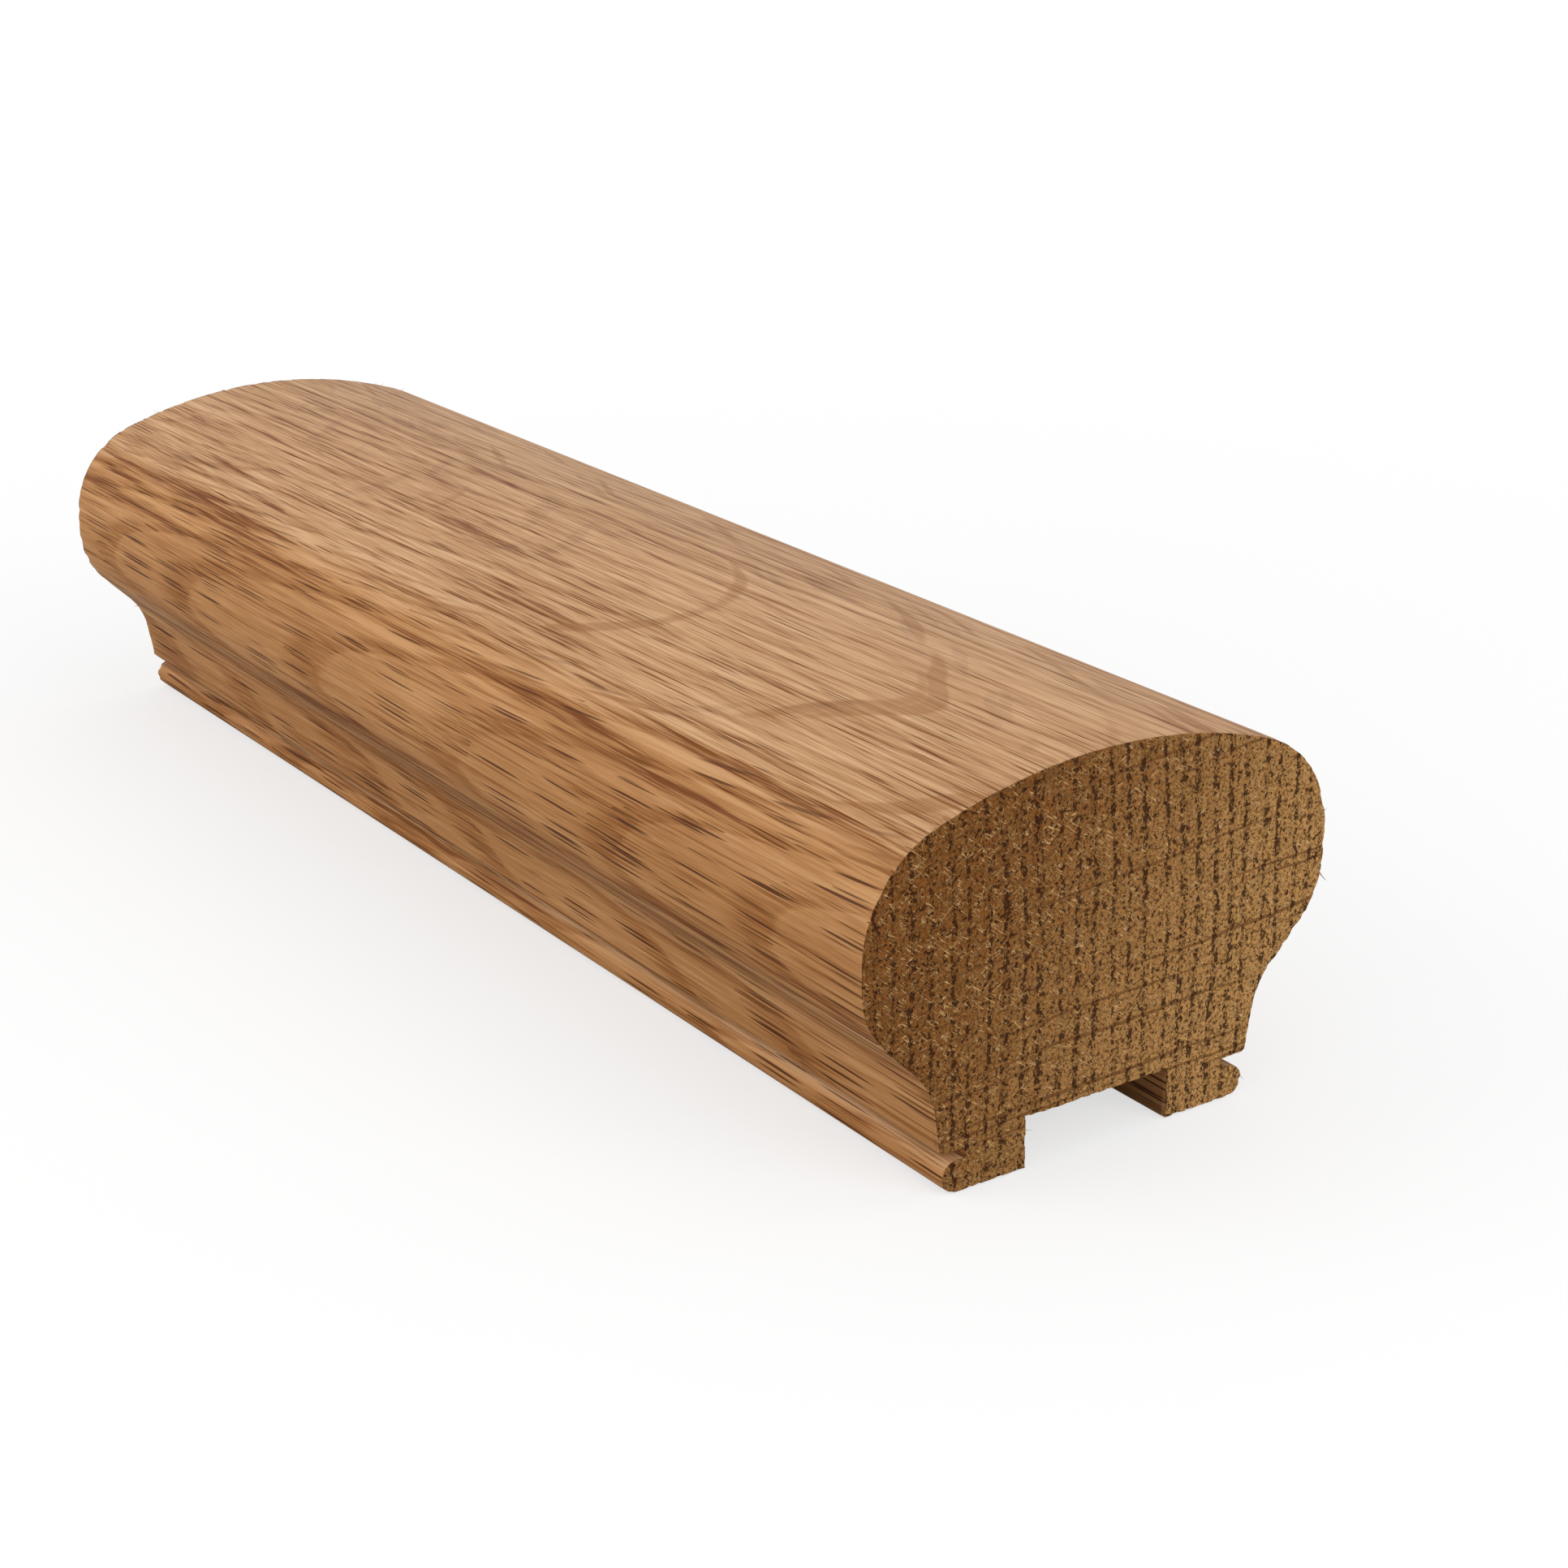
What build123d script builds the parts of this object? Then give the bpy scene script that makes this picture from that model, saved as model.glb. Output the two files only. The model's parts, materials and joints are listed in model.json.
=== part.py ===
from build123d import *
import math
import os

# A short, square-sawn length of moulded oak handrail, one solid piece.
# X runs along the rail, Y across it and Z up.  The origin is at the middle of the foot,
# halfway between the two sawn ends.  Sizes are in millimetres and angles in degrees.

# Overall size
rail_length = 222.0
rail_width = 70.0
rail_height = 50.4

# Hand grip: a flat crown that turns over into round shoulders and short upright cheeks
crown_radius = 75.0
shoulder_radius = 15.0
cheek_height = 2.8

# Underside: each cheek turns in to a slope, and a cove turns the slope down into the neck
under_radius = 12.0
under_slope = 45.0
slope_length = 6.0
cove_radius = 10.0
neck_taper = 8.0
neck_arris_radius = 0.7

# Foot: a half-round bead along each side, set off from the neck by a narrow sunk quirk
bead_diameter = 4.1
bead_setback = 0.4
quirk_height = 1.3
quirk_depth = 3.7

# Plough: the groove along the underside that takes the tops of the balusters
plough_width = 22.0
plough_depth = 6.6


def step(turn, distance=1.0):
    """Step across the section that heads straight out to the side, turned down by an angle."""
    angle = math.radians(turn)
    return Vector(math.cos(angle), -math.sin(angle)) * distance


def grip_outline():
    """One side of the grip, from the top of the crown to the head of the slope."""
    crown_centre = Vector(0, rail_height - crown_radius)
    shoulder_y = rail_width / 2 - shoulder_radius
    shoulder_rise = math.sqrt((crown_radius - shoulder_radius) ** 2 - shoulder_y**2)
    shoulder_centre = crown_centre + Vector(shoulder_y, shoulder_rise)
    crown_turn = math.degrees(math.atan2(shoulder_y, shoulder_rise))

    cheek_top = shoulder_centre + Vector(shoulder_radius, 0)
    cheek_foot = cheek_top - Vector(0, cheek_height)
    under_centre = cheek_foot - Vector(under_radius, 0)

    crown = CenterArc(crown_centre, crown_radius, 90, -crown_turn)
    shoulder = CenterArc(shoulder_centre, shoulder_radius, 90 - crown_turn, crown_turn - 90)
    cheek = Line(cheek_top, cheek_foot)
    under = CenterArc(under_centre, under_radius, 0, -under_slope)
    return [crown, shoulder, cheek, under]


def neck_outline(slope_head):
    """The slope, its cove and the neck, down to the arris that overhangs the quirk."""
    slope_foot = slope_head + step(90 + under_slope, slope_length)
    cove_centre = slope_foot + step(under_slope, cove_radius)
    cove_turn = under_slope - neck_taper
    cove_foot = cove_centre - step(neck_taper, cove_radius)
    neck_height = cove_foot.Y - bead_diameter - quirk_height
    arris = cove_foot - Vector(math.tan(math.radians(neck_taper)), 1) * neck_height

    slope = Line(slope_head, slope_foot)
    cove = CenterArc(cove_centre, cove_radius, 180 - under_slope, cove_turn)
    neck = Line(cove_foot, arris)
    return [slope, cove, neck]


def foot_outline(arris):
    """The quirk, the bead, the flat that the rail stands on and the side of the plough."""
    bead_radius = bead_diameter / 2
    bead_y = arris.X - bead_setback - bead_radius
    quirk_y = arris.X - quirk_depth
    bead_top = (bead_y, bead_diameter)
    bead_foot = (bead_y, 0)
    plough_y = plough_width / 2

    quirk = Polyline(arris, (quirk_y, arris.Y), (quirk_y, bead_diameter), bead_top)
    bead = ThreePointArc(bead_top, (bead_y + bead_radius, bead_radius), bead_foot)
    plough = Polyline(bead_foot, (plough_y, 0), (plough_y, plough_depth), (0, plough_depth))
    return [quirk, bead, plough]


def half_section():
    """Face of one half of the moulding, with the arris above the quirk eased."""
    grip = grip_outline()
    neck = neck_outline(grip[-1] @ 1)
    arris = neck[-1] @ 1
    foot = foot_outline(arris)
    middle = Line(foot[-1] @ 1, grip[0] @ 0)
    face = make_face(grip + neck + foot + [middle])
    arris_corner = face.vertices().sort_by_distance(arris)[0]
    return fillet(arris_corner, min(neck_arris_radius, neck[-1].length / 2))


def handrail():
    """The whole moulding: both halves of the section, drawn out along the rail."""
    half = half_section()
    section = half + mirror(half, about=Plane.YZ)
    far_end = Plane(origin=(-rail_length / 2, 0, 0), x_dir=(0, 1, 0), z_dir=(1, 0, 0))
    return extrude(far_end * section, rail_length)


os.makedirs("parts", exist_ok=True)
export_step(handrail(), "parts/handrail.step")
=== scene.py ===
import json
import math
import random

import bpy
from mathutils import Matrix, Vector, kdtree, noise

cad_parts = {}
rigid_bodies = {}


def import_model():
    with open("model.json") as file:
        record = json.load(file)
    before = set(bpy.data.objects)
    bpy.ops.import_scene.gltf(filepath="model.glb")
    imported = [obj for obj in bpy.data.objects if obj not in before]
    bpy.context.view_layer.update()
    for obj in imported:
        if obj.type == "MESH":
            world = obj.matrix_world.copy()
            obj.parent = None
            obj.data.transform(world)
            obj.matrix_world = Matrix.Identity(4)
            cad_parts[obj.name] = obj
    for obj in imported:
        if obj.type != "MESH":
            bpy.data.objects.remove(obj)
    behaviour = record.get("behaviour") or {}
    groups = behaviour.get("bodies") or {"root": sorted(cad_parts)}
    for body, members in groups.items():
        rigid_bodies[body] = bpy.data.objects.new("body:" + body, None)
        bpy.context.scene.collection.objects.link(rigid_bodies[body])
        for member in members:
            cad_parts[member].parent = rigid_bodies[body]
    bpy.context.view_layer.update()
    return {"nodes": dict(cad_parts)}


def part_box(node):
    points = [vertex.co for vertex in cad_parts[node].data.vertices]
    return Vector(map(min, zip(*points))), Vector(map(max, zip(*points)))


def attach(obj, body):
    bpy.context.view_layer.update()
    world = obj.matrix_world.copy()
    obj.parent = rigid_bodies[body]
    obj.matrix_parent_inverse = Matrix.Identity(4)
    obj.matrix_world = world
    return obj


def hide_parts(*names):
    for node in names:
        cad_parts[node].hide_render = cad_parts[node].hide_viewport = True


# The handrail sample as it is packed: X runs along the rail, Z is up and the foot lies at zero.
# Lengths are in metres, apart from those of the oak's pattern, which are in millimetres.
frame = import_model()
rail_low, rail_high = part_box("handrail")

# The viewpoint looks down on the near sawn end, towards +X, and along the crown, with the
# rail's side towards -Y in view.  It is a long lens, close by, and stands level.
eye = Vector((0.3410, -0.2061, 0.1631))
look_back = Vector((0.76587, -0.53471, 0.35711)).normalized()
look_right = Vector((0.57266, 0.81980, -0.00064)).normalized()
look_up = look_back.cross(look_right)
film_width = 36.0
lens_length = 66.25
nearest_seen = 0.01

bpy.ops.object.camera_add()
camera = bpy.context.object
camera.name = "viewpoint"
turn = Matrix((look_right, look_up, look_back)).transposed().to_4x4()
camera.matrix_world = Matrix.Translation(eye) @ turn
camera.data.sensor_width = film_width
camera.data.lens = lens_length
camera.data.clip_start = nearest_seen
bpy.context.scene.camera = camera

# The moulded rail is one length of solid oak, planed on a spindle moulder to its crowned
# grip, coves, quirks and beads, with a plough cut along the foot.  Both ends are straight
# from the saw, so their fibres are torn and their arrises ragged.
half_length = (rail_high.x - rail_low.x) / 2
sawn_grid = 0.00045
arris_steps = (0.0003, 0.0008, 0.0016)
rim_room = 0.00036
flat_turn = math.radians(0.5)
smooth_turn = math.radians(35)
touching = 1e-6
end_facing = 0.5

bpy.ops.object.select_all(action="DESELECT")
cad_rail = frame["nodes"]["handrail"]
cad_rail.select_set(True)
bpy.context.view_layer.objects.active = cad_rail
bpy.ops.object.duplicate()
rail = bpy.context.object
rail.name = "moulded_rail"
bpy.ops.object.parent_clear(type="CLEAR_KEEP_TRANSFORM")


def select_by_the_saw_cut():
    """Select the sawn ends and the thin strip of planed wood next to them, and nothing else."""
    bpy.ops.mesh.select_all(action="DESELECT")
    bpy.ops.object.mode_set(mode="OBJECT")
    for face in rail.data.polygons:
        face.select = abs(face.center.x) > half_length - arris_steps[0]
    bpy.ops.object.mode_set(mode="EDIT")


def cut_through(point, across):
    """Cut what is selected along the plane through a point."""
    bpy.ops.mesh.bisect(plane_co=point, plane_no=across, threshold=touching)


# Rings of edges run round the rail just behind each arris, and a fine grid covers the ends.
bpy.ops.object.mode_set(mode="EDIT")
bpy.ops.mesh.select_mode(type="FACE")
bpy.ops.mesh.select_all(action="SELECT")
bpy.ops.mesh.remove_doubles(threshold=touching)
bpy.ops.mesh.dissolve_limited(angle_limit=flat_turn)
for depth in arris_steps:
    for side in (-1, 1):
        bpy.ops.mesh.select_all(action="SELECT")
        cut_through((side * (half_length - depth), 0, 0), (1, 0, 0))
for axis in (1, 2):
    across = Vector((0, axis == 1, axis == 2))
    for cut in range(1, int((rail_high[axis] - rail_low[axis]) / sawn_grid) + 1):
        select_by_the_saw_cut()
        cut_through(across * (rail_low[axis] + cut * sawn_grid), across)
bpy.ops.object.mode_set(mode="OBJECT")


def sort_corners():
    """The corners of the sawn ends, and the corners of the planed faces with their lean."""
    torn = set()
    lean = {}
    for face in rail.data.polygons:
        for corner in face.vertices:
            if abs(face.normal.x) > end_facing:
                torn.add(corner)
            else:
                lean[corner] = lean.get(corner, Vector()) + face.normal
    return torn, lean


# Corners of the grid that lie close to the rim are dissolved, so the arris has room to break.
torn_corners, planed_lean = sort_corners()
rim = [corner for corner in torn_corners if corner in planed_lean]
rim_tree = kdtree.KDTree(len(rim))
for corner in rim:
    rim_tree.insert(rail.data.vertices[corner].co, corner)
rim_tree.balance()
bpy.ops.object.mode_set(mode="EDIT")
bpy.ops.mesh.select_mode(type="VERT")
bpy.ops.mesh.select_all(action="DESELECT")
bpy.ops.object.mode_set(mode="OBJECT")
for corner in torn_corners:
    vertex = rail.data.vertices[corner]
    vertex.select = corner not in planed_lean and rim_tree.find(vertex.co)[2] < rim_room
bpy.ops.object.mode_set(mode="EDIT")
bpy.ops.mesh.dissolve_verts()
bpy.ops.object.mode_set(mode="OBJECT")

# The saw has torn the end grain into small hollows and has broken bits out of the arrises,
# which are rubbed a little all round.
tear_depth = 0.00013
tear_size = 0.0009
chip_depth = 0.00075
chip_size = 0.0011
chip_start = 0.12
deepest_chip = 0.0002
rub_depth = 0.00004

torn_corners, planed_lean = sort_corners()
for corner, vertex in enumerate(rail.data.vertices):
    inset = half_length - abs(vertex.co.x)
    fade = 1 - inset / arris_steps[-1]
    if corner in torn_corners:
        tear = tear_depth * (1 + noise.noise(vertex.co / tear_size))
        vertex.co.x -= math.copysign(tear, vertex.co.x)
    if corner in planed_lean and fade > 0:
        break_out = max(0.0, noise.noise(vertex.co / chip_size) - chip_start)
        chip = min(deepest_chip, chip_depth * break_out)
        vertex.co -= planed_lean[corner].normalized() * (chip + rub_depth) * fade ** 2
bpy.ops.object.shade_smooth_by_angle(angle=smooth_turn)

# Oak grows in rings round a pith that lay far off on this length's side towards -Y, so the
# rings stand nearly upright in the end, and the wood's rays cross them like flat ribbons.
# One solid pattern, in millimetres from the foot's middle, runs through sides and ends alike.
oak = bpy.data.materials.new("oak")
oak.use_nodes = True
nodes = oak.node_tree.nodes
links = oak.node_tree.links


def add(kind, *inputs, **settings):
    """Add a node.  Its inputs are linked sockets or plain values, in the node's own order."""
    node = nodes.new("ShaderNode" + kind)
    for name, value in settings.items():
        setattr(node, name, value)
    for socket, value in zip([s for s in node.inputs if s.enabled], inputs):
        if isinstance(value, bpy.types.NodeSocket):
            links.new(value, socket)
        elif value is not None:
            socket.default_value = value
    return node


def calc(operation, *inputs):
    """A sum, product or other plain calculation on numbers."""
    return add("Math", *inputs, operation=operation).outputs[0]


def swing(value, amount):
    """Turn a value from 0 to 1 into a swing of a given amount about nothing."""
    return calc("MULTIPLY", calc("SUBTRACT", value, 0.5), amount)


def step_between(value, low, high, start=0.0, end=1.0):
    """Rise or fall smoothly from start to end as the value goes from low to high."""
    node = add("MapRange", interpolation_type="SMOOTHSTEP")
    links.new(value, node.inputs["Value"])
    for name, number in (("From Min", low), ("From Max", high), ("To Min", start), ("To Max", end)):
        node.inputs[name].default_value = number
    return node.outputs[0]


def place(along, across, up):
    """Join three numbers into one place for a pattern."""
    return add("CombineXYZ", along, across, up).outputs[0]


def cloud(where, size, detail=2.0, rough=0.5):
    """Soft noise from 0 to 1, in clouds of about the given size."""
    node = add("TexNoise")
    links.new(where, node.inputs["Vector"])
    node.inputs["Scale"].default_value = 1.0 / size
    node.inputs["Detail"].default_value = detail
    node.inputs["Roughness"].default_value = rough
    return node.outputs[0]


def cells(where):
    """How far off the nearest cell's middle is, and two random numbers that the cell keeps."""
    node = add("TexVoronoi")
    links.new(where, node.inputs["Vector"])
    node.inputs["Scale"].default_value = 1.0
    random_pair = add("SeparateColor", node.outputs["Color"])
    return node.outputs["Distance"], random_pair.outputs[0], random_pair.outputs[1]


def tint(amount, first, second):
    """Go from the first colour to the second by an amount from 0 to 1."""
    node = add("Mix", data_type="RGBA")
    for socket, value in ((node.inputs[0], amount), (node.inputs[6], first), (node.inputs[7], second)):
        if isinstance(value, bpy.types.NodeSocket):
            links.new(value, socket)
        else:
            socket.default_value = value
    return node.outputs[2]


def paint(red, green, blue):
    """A colour given as it looks, from 0 to 255, as the shader wants it."""
    return tuple(((c / 255 + 0.055) / 1.055) ** 2.4 for c in (red, green, blue)) + (1.0,)


# Where a point lies in the tree: along the grain, out across the rings, and round the rings.
# The trunk is not quite straight, so the rings wander and the rays dip towards the crown.
pith_distance = 350.0
pith_height = 5.0
ring_radius = 600.0
ring_drift = 0.07
slow_along = 0.12
wander_size = 22.0
wander_depth = 2.4
sway_size = 16.0
sway_depth = 2.0
dip_heights = (30.0, 48.0)
dip_slopes = (-0.01, 0.11)
near_end = half_length * 1000

spot = add("VectorMath", add("TexCoord").outputs["Object"], operation="SCALE")
spot.inputs["Scale"].default_value = 1000.0
x, y, z = add("SeparateXYZ", spot.outputs[0]).outputs
slow_x = calc("MULTIPLY", x, slow_along)
from_near = calc("SUBTRACT", x, near_end)
above_pith = calc("SUBTRACT", z, pith_height)

wander = swing(cloud(place(slow_x, y, z), wander_size, 1.0), wander_depth)
bulge = calc("DIVIDE", calc("MULTIPLY", above_pith, above_pith), 2 * ring_radius)
drift = calc("MULTIPLY", from_near, ring_drift)
out = calc("SUBTRACT", calc("ADD", calc("ADD", y, bulge), wander), drift)

fan = calc("DIVIDE", pith_distance, calc("ADD", y, pith_distance))
sway = swing(cloud(place(slow_x, z, y), sway_size, 1.0), sway_depth)
dip = calc("MULTIPLY", from_near, step_between(z, *dip_heights, *dip_slopes))
round_ring = calc("SUBTRACT", calc("ADD", calc("MULTIPLY", above_pith, fan), sway), dip)

grain_y = calc("ADD", y, wander)
grain_z = calc("ADD", z, sway)

# The planed faces end and the sawn ends begin just behind the deepest tear.
end_start = (near_end - 0.34, near_end - 0.26)
from_middle = calc("ABSOLUTE", x)
end_grain = step_between(from_middle, *end_start)

# Growth rings: each starts sharply with open spring wood and closes into dense summer wood.
ring_spacing = 2.65
uneven_size = 4.0
uneven_depth = 1.1

uneven = calc("MULTIPLY", cloud(place(out, 0.0, 0.0), uneven_size, 1.0), uneven_depth)
ring = calc("FRACT", calc("ADD", calc("DIVIDE", out, ring_spacing), uneven))
spring = calc("MULTIPLY", step_between(ring, 0.0, 0.08), step_between(ring, 0.2, 0.45, 1.0, 0.0))


def drawn_out(run, up):
    """A place for fibres that are drawn out along the grain."""
    return place(calc("DIVIDE", x, run), grain_y, up)


# Fibres run along the grain: hair-fine ones, coarser ones, and long darker streaks among them.
hair_run = 60.0
hair_width = 0.19
fibre_run = 45.0
fibre_width = 0.5
streak_width = 1.3
streak_tall = 2.0
patch_run = 4.0
patch_width = 20.0

hair = cloud(drawn_out(hair_run, grain_z), hair_width, 2.0, 0.6)
fibre = cloud(drawn_out(fibre_run, grain_z), fibre_width, 3.0, 0.6)
streak = cloud(drawn_out(fibre_run, calc("DIVIDE", grain_z, streak_tall)), streak_width, 3.0, 0.55)
patch = cloud(place(calc("DIVIDE", x, patch_run), y, z), patch_width, 2.0)


def cells_of(length, across, width, up, height):
    """Cells of a given size along the grain and in two directions across it."""
    return cells(place(calc("DIVIDE", x, length), calc("DIVIDE", across, width), calc("DIVIDE", up, height)))


# Vessels: long open tubes along the grain, crowded in the spring wood and few beyond it.
tube_length = 18.0
tube_room = 0.34
tube_chances = (0.06, 0.6)

tube_distance, tube_pick, tube_size = cells_of(tube_length, grain_y, tube_room, grain_z, tube_room)
tube_chance = step_between(spring, 0.0, 1.0, *tube_chances)
tube_reach = calc("MULTIPLY_ADD", tube_size, 0.2, 0.24)
tube_depth = calc("SUBTRACT", 1.0, calc("DIVIDE", tube_distance, tube_reach))
tube = calc("MULTIPLY", step_between(tube_depth, 0.0, 0.5), calc("LESS_THAN", tube_pick, tube_chance))

# Rays: thin ribbons that run out from the pith, a few broad ones among many fine ones.  The
# broad ones show more often on the planed faces than on the torn ends.
broad_length = 26.0
broad_width = 60.0
broad_height = 0.6
broad_chances = (0.24, 0.15)
fine_length = 15.0
fine_width = 26.0
fine_height = 0.48
fine_chance = 0.25

broad_distance, broad_pick, _ = cells_of(broad_length, out, broad_width, round_ring, broad_height)
broad_chance = step_between(from_middle, *end_start, *broad_chances)
broad_band = step_between(broad_distance, 0.3, 0.5, 1.0, 0.0)
broad_ray = calc("MULTIPLY", calc("LESS_THAN", broad_pick, broad_chance), broad_band)
fine_distance, fine_pick, _ = cells_of(fine_length, out, fine_width, round_ring, fine_height)
fine_band = step_between(fine_distance, 0.26, 0.46, 1.0, 0.0)
fine_ray = calc("MULTIPLY", calc("LESS_THAN", fine_pick, fine_chance), fine_band)

# Planed faces: golden brown.  Cut across the rays, as on the crown, the wood is even and pale
# with soft flecks; cut along them, as on the cheeks, it shows dark rings and sharp ray ends.
# The shoulders between them are streaked the most.  Where the faces turn upward, the crown's
# ground is also painted paler and greyer: partly the wood's own tone, partly a painted sheen.
darkest_fibre = paint(116, 62, 18)
cheek_ground = paint(178, 125, 75)
# The crown's two colours are paler and greyer than the cheeks': partly the wood's own, partly a painted
# sheen.
crown_ground_and_sheen = paint(189, 144, 101)
cheek_pale = paint(202, 151, 101)
crown_pale_and_sheen = paint(214, 173, 131)
spring_brown = paint(140, 84, 34)
fleck_brown = paint(146, 94, 48)
# The ray ends' near-black brown is partly their own colour and partly painted shade of thin gaps.
ray_end_brown_and_gap_shade = paint(76, 34, 6)
pore_brown = paint(98, 54, 18)

facing = add("SeparateXYZ", add("NewGeometry").outputs["Normal"])
upward = calc("ABSOLUTE", facing.outputs[2])
# This upward mask also lays on the painted sheen of the crown's paler colours.
crown_cut_and_sheen = step_between(upward, 0.6, 0.97)
side_cut = calc("SUBTRACT", 1.0, crown_cut_and_sheen)
shoulder_cut = calc("MULTIPLY", step_between(upward, 0.3, 0.6), step_between(upward, 0.8, 0.96, 1.0, 0.0))


def share(where, more, least):
    """An amount that is least off the given cut of the wood, and more than that on it."""
    return calc("MULTIPLY_ADD", where, more, least)


hair_tone = swing(hair, share(crown_cut_and_sheen, 0.4, 0.75))
fibre_tone = swing(fibre, share(crown_cut_and_sheen, 0.3, 0.75))
streak_tone = swing(streak, share(shoulder_cut, 1.3, 0.65))
patch_tone = swing(patch, 0.35)
tone = calc("ADD", calc("ADD", hair_tone, fibre_tone), calc("ADD", streak_tone, patch_tone))
tone = calc("SUBTRACT", calc("ADD", tone, 0.56), calc("MULTIPLY", spring, 0.06))
# Upward faces take the crown's paler colours: a painted sheen over the wood's own tone.
ground = tint(crown_cut_and_sheen, cheek_ground, crown_ground_and_sheen)
pale = tint(crown_cut_and_sheen, cheek_pale, crown_pale_and_sheen)
planed = tint(step_between(tone, 0.2, 0.54), darkest_fibre, ground)
planed = tint(step_between(tone, 0.5, 0.9), planed, pale)
spring_grain = calc("MULTIPLY", spring, step_between(hair, 0.42, 0.6, 1.0, 0.15))
planed = tint(calc("MULTIPLY", spring_grain, share(side_cut, 0.4, 0.25)), planed, spring_brown)
planed = tint(calc("MULTIPLY", broad_ray, share(side_cut, 0.35, 0.45)), planed, fleck_brown)
# Fine rays on the cheeks are painted near black: their own brown deepened with painted shade.
planed = tint(calc("MULTIPLY", fine_ray, share(side_cut, 0.78, 0.12)), planed, ray_end_brown_and_gap_shade)
planed = tint(calc("MULTIPLY", tube, 0.7), planed, pore_brown)

# Sawn ends: duller brown, darkest at the top towards -Y, with black vessel mouths in broken
# columns along the rings, brown rays across them and pale torn fibres all over.
end_dark = paint(134, 84, 36)
end_pale = paint(200, 150, 90)
grit_brown = paint(78, 42, 12)
end_spring_brown = paint(90, 52, 18)
torn_pale = paint(214, 170, 114)
end_ray_brown = paint(116, 76, 38)
mouth_black = paint(50, 22, 6)


def torn(turn, width):
    """Short strokes across the sawn end, turned by an angle in degrees."""
    lean = math.radians(turn)
    run = calc("ADD", calc("MULTIPLY", y, math.cos(lean)), calc("MULTIPLY", z, math.sin(lean)))
    rise = calc("SUBTRACT", calc("MULTIPLY", z, math.cos(lean)), calc("MULTIPLY", y, math.sin(lean)))
    return cloud(place(calc("MULTIPLY", x, 0.2), calc("MULTIPLY", run, 0.14), rise), width, 2.0, 0.6)


def end_cloud(size, squeeze):
    """Clouds on the sawn end, which come out taller than wide as their height is squeezed."""
    return cloud(place(calc("MULTIPLY", x, 0.3), y, calc("MULTIPLY", z, squeeze)), size, 2.0, 0.6)


falling_turn = -38
rising_turn = 30
upright_turn = 75
slanted_width = 0.19
upright_width = 0.17
tuft_size = 1.6
grit_size = 0.48
pit_size = 0.6

falling = step_between(torn(falling_turn, slanted_width), 0.54, 0.68)
rising = step_between(torn(rising_turn, slanted_width), 0.58, 0.7)
upright = step_between(torn(upright_turn, upright_width), 0.6, 0.72)
strokes = calc("MAXIMUM", calc("MAXIMUM", falling, rising), upright)
tufts = step_between(cloud(place(x, y, z), tuft_size, 2.0, 0.6), 0.35, 0.62, 0.25, 0.95)
grit = cloud(place(x, y, z), grit_size, 3.0, 0.8)
pit = calc("ADD", end_cloud(pit_size, 0.8), calc("MULTIPLY", spring, 0.1))

# Vessel mouths crowd in the first row of each ring, and their columns break off here and
# there.  Strays lie beyond that row, most of them towards -Y.
mouth_length = 9.0
mouth_width = 0.68
mouth_height = 0.66
mouth_chances = (0.13, 0.72)
stray_reach = (-35.0, 0.0)
stray_chances = (0.14, 0.0)
break_size = 1.3

mouth_distance, mouth_pick, mouth_size = cells_of(mouth_length, out, mouth_width, round_ring, mouth_height)
first_row = calc("MULTIPLY", step_between(ring, 0.0, 0.06), step_between(ring, 0.2, 0.3, 1.0, 0.0))
strays = step_between(y, *stray_reach, *stray_chances)
mouth_chance = calc("ADD", step_between(first_row, 0.0, 1.0, *mouth_chances), strays)
unbroken = step_between(end_cloud(break_size, 0.6), 0.36, 0.5, 0.4, 1.0)
mouth_there = calc("MULTIPLY", calc("LESS_THAN", mouth_pick, mouth_chance), unbroken)
mouth_reach = calc("MULTIPLY_ADD", mouth_size, 0.26, 0.24)
mouth_depth = calc("SUBTRACT", 1.0, calc("DIVIDE", mouth_distance, mouth_reach))
mouth_depth = calc("ADD", mouth_depth, swing(grit, 1.3))
mouth = calc("MULTIPLY", step_between(mouth_depth, 0.05, 0.4), mouth_there)
hole = calc("MAXIMUM", step_between(pit, 0.61, 0.68), mouth)

dark_corner = -52.0
pale_corner = 22.0
across_end = step_between(calc("ADD", y, calc("MULTIPLY", z, -0.7)), dark_corner, pale_corner)
sawn = tint(across_end, end_dark, end_pale)
sawn = tint(step_between(grit, 0.44, 0.62, 0.0, 0.9), sawn, grit_brown)
sawn = tint(calc("MULTIPLY", spring, 0.2), sawn, end_spring_brown)
sawn = tint(calc("MULTIPLY", strokes, tufts), sawn, torn_pale)
sawn = tint(calc("MULTIPLY", broad_ray, 0.75), sawn, end_ray_brown)
sawn = tint(calc("MULTIPLY", hole, 0.84), sawn, mouth_black)

# The planed faces have a low sheen over fine grooves; the ends are dull, pitted and tufted.
groove_depth = 0.00016
groove_strength = 0.8
oak_shine = 0.1
end_dullness = 0.88

planed_dips = calc("ADD", tube, calc("MULTIPLY", fine_ray, 0.5))
planed_height = calc("SUBTRACT", calc("MULTIPLY", fibre, 0.9), planed_dips)
sawn_rise = calc("ADD", calc("MULTIPLY", grit, 1.5), strokes)
sawn_height = calc("SUBTRACT", sawn_rise, calc("MULTIPLY", hole, 2.0))
bump = add("Bump")
bump.inputs["Strength"].default_value = groove_strength
bump.inputs["Distance"].default_value = groove_depth
relief = add("Mix", end_grain, planed_height, sawn_height, data_type="FLOAT").outputs[0]
links.new(relief, bump.inputs["Height"])

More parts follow.
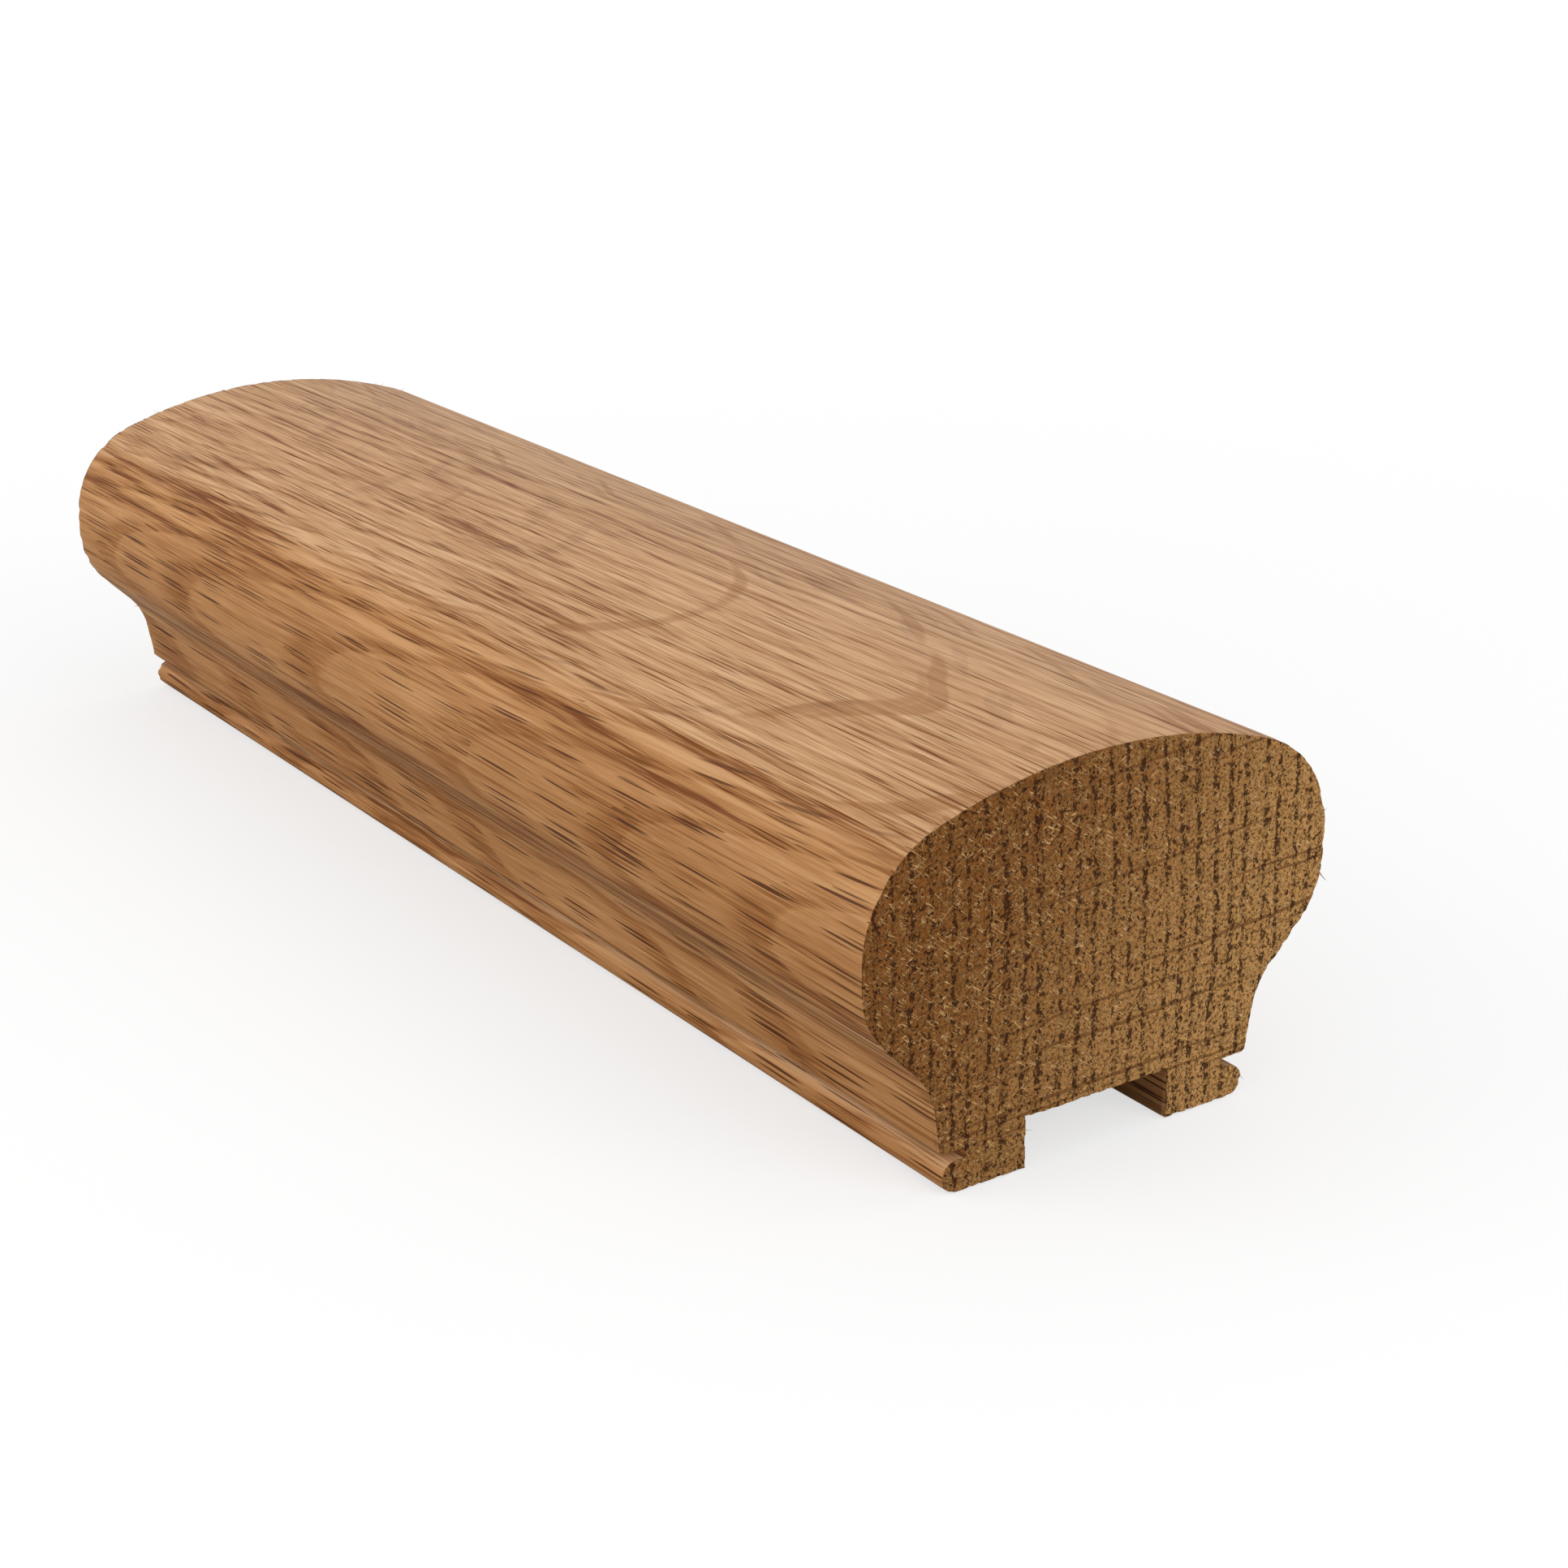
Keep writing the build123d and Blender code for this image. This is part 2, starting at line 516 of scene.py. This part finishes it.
planed_dullness = calc("MULTIPLY_ADD", fibre, 0.2, 0.42)
dullness = add("Mix", end_grain, planed_dullness, end_dullness, data_type="FLOAT").outputs[0]
dullness = calc("ADD", dullness, calc("MULTIPLY", tube, 0.2))

surface = nodes["Principled BSDF"]
surface.inputs["Specular IOR Level"].default_value = oak_shine
links.new(tint(end_grain, planed, sawn), surface.inputs["Base Color"])
links.new(dullness, surface.inputs["Roughness"])
links.new(bump.outputs[0], surface.inputs["Normal"])

rail.data.materials.clear()
rail.data.materials.append(oak)
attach(rail, "root")
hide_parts("handrail")

# Torn fibres stand up from the sawn ends where the saw has not cut them clean: short curled
# hairs of paler wood, each rooted in the end grain, and one long splinter at the near end.
hairs_per_end = 420
hair_seed = 7
hair_length = (0.00035, 0.0009)
hair_thickness = (0.000025, 0.00005)
hair_root = 0.00015
hair_taper = 0.2
hair_joints = (0.35, 0.7)
hair_lift = (0.1, 0.4)
hair_leans = (-38, 30, 142, 210)
lean_spread = 30
hair_curl = 0.15
splinter_root = Vector((half_length - 0.0004, 0.0343, 0.0274))
splinter_tip = Vector((half_length - 0.0001, 0.0358, 0.0253))
splinter_thickness = 0.00013
splinter_curl = 0.2
hair_brown = paint(128, 88, 48)
hair_pale = paint(184, 140, 90)

bpy.ops.object.select_all(action="DESELECT")
bpy.ops.mesh.primitive_cone_add(vertices=4, radius1=1.0, radius2=hair_taper, depth=1.0, location=(0, 0, 0.5))
hair_model = bpy.context.object
bpy.ops.object.transform_apply(location=True, rotation=False, scale=False)
bpy.ops.object.mode_set(mode="EDIT")
for height in hair_joints:
    bpy.ops.mesh.select_all(action="SELECT")
    cut_through((0, 0, height), (0, 0, 1))
bpy.ops.object.mode_set(mode="OBJECT")


def set_hair(root, tip, thickness, curl):
    """Copy the model hair so that it runs from root to tip, curled off its line."""
    copy = hair_model.copy()
    copy.data = hair_model.data.copy()
    bpy.context.collection.objects.link(copy)
    heading = tip - root
    spread = heading.orthogonal().normalized()
    other = heading.normalized().cross(spread)
    for vertex in copy.data.vertices:
        across_x, across_y, rise = vertex.co
        bow = curl * heading.length * rise * (1 - rise)
        on_line = root + heading * rise
        vertex.co = on_line + spread * (across_x * thickness + bow) + other * across_y * thickness
    return copy


draw = random.Random(hair_seed)
sawn_points = [rail.data.vertices[corner].co for corner in sorted(torn_corners)]
hairs = [set_hair(splinter_root, splinter_tip, splinter_thickness, splinter_curl)]
for side in (-1, 1):
    end_points = [point for point in sawn_points if point.x * side > 0 and point.z > hair_length[1]]
    for point in draw.sample(end_points, hairs_per_end):
        lean = math.radians(draw.choice(hair_leans) + draw.uniform(-lean_spread, lean_spread))
        lift = draw.uniform(*hair_lift)
        flat = math.cos(lift)
        heading = Vector((side * math.sin(lift), math.cos(lean) * flat, math.sin(lean) * flat))
        root = point - Vector((side * hair_root, 0, 0))
        tip = root + heading * draw.uniform(*hair_length)
        hairs.append(set_hair(root, tip, draw.uniform(*hair_thickness), draw.uniform(-hair_curl, hair_curl)))
bpy.data.objects.remove(hair_model)
bpy.ops.object.select_all(action="DESELECT")
for torn_hair in hairs:
    torn_hair.select_set(True)
bpy.context.view_layer.objects.active = hairs[0]
bpy.ops.object.join()
fibres = bpy.context.object
fibres.name = "torn_fibres"

torn_oak = bpy.data.materials.new("torn_oak")
torn_oak.use_nodes = True
nodes = torn_oak.node_tree.nodes
links = torn_oak.node_tree.links
surface = nodes["Principled BSDF"]
hair_tone = cloud(add("TexCoord").outputs["Object"], 0.0012, 2.0)
hair_colour = tint(step_between(hair_tone, 0.35, 0.65), hair_brown, hair_pale)
links.new(hair_colour, surface.inputs["Base Color"])
links.new(calc("MULTIPLY_ADD", hair_tone, 0.3, 0.6), surface.inputs["Roughness"])
fibres.data.materials.clear()
fibres.data.materials.append(torn_oak)
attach(fibres, "root")

# The sample lies on a plain white floor.  Seen by the camera, the floor glows a little and
# runs out into pure white, and it keeps the sample's shadow.
floor_size = 6.0
floor_gap = 0.0002
white = (1.0, 1.0, 1.0, 1.0)
unseen_grey = (0.45, 0.45, 0.45, 1.0)
glow_reach = (0.1, 0.35)
glow_share = (0.65, 1.0)

bpy.ops.mesh.primitive_plane_add(size=floor_size, location=(0, 0, rail_low.z - floor_gap))
floor = bpy.context.object
floor.name = "floor"
floor_paper = bpy.data.materials.new("white_floor")
floor_paper.use_nodes = True
nodes = floor_paper.node_tree.nodes
links = floor_paper.node_tree.links
paper = nodes["Principled BSDF"]
paper.inputs["Roughness"].default_value = 0.9
paper.inputs["Specular IOR Level"].default_value = 0.1
seen = add("LightPath").outputs["Is Camera Ray"]
links.new(tint(seen, unseen_grey, white), paper.inputs["Base Color"])
from_sample = add("VectorMath", add("TexCoord").outputs["Object"], operation="LENGTH").outputs["Value"]
glow = add("Emission", white, 1.0)
beyond = add("MixShader", calc("MULTIPLY", seen, step_between(from_sample, *glow_reach, *glow_share)))
links.new(paper.outputs[0], beyond.inputs[1])
links.new(glow.outputs[0], beyond.inputs[2])
links.new(beyond.outputs[0], nodes["Material Output"].inputs["Surface"])
floor.data.materials.append(floor_paper)

# Even studio light comes from all round, and is white where it is seen or mirrored.
room_light = 0.75
world = bpy.data.worlds.new("studio")
world.use_nodes = True
bpy.context.scene.world = world
nodes = world.node_tree.nodes
links = world.node_tree.links
path = add("LightPath")
straight = calc("MAXIMUM", path.outputs["Is Camera Ray"], path.outputs["Is Glossy Ray"])
nodes["Background"].inputs["Color"].default_value = white
strength = calc("MULTIPLY_ADD", straight, 1 - room_light, room_light)
links.new(strength, nodes["Background"].inputs["Strength"])


def softbox(name, where, size, power):
    """A square soft lamp that faces the middle of the rail."""
    bpy.ops.object.light_add(type="AREA", location=where)
    lamp = bpy.context.object
    lamp.name = name
    lamp.data.size = size
    lamp.data.energy = power
    aim = Vector(where) - Vector((0, 0, rail_high.z / 2))
    lamp.rotation_euler = aim.to_track_quat("Z", "Y").to_euler()


# One soft lamp stands off the side towards -Y, and a weaker one off the near end, both low.
softbox("key_lamp", (-0.45, -0.95, 0.45), 0.8, 5.0)
softbox("front_lamp", (0.95, 0.25, 0.4), 0.7, 4.0)

bpy.context.scene.view_settings.view_transform = "Standard"
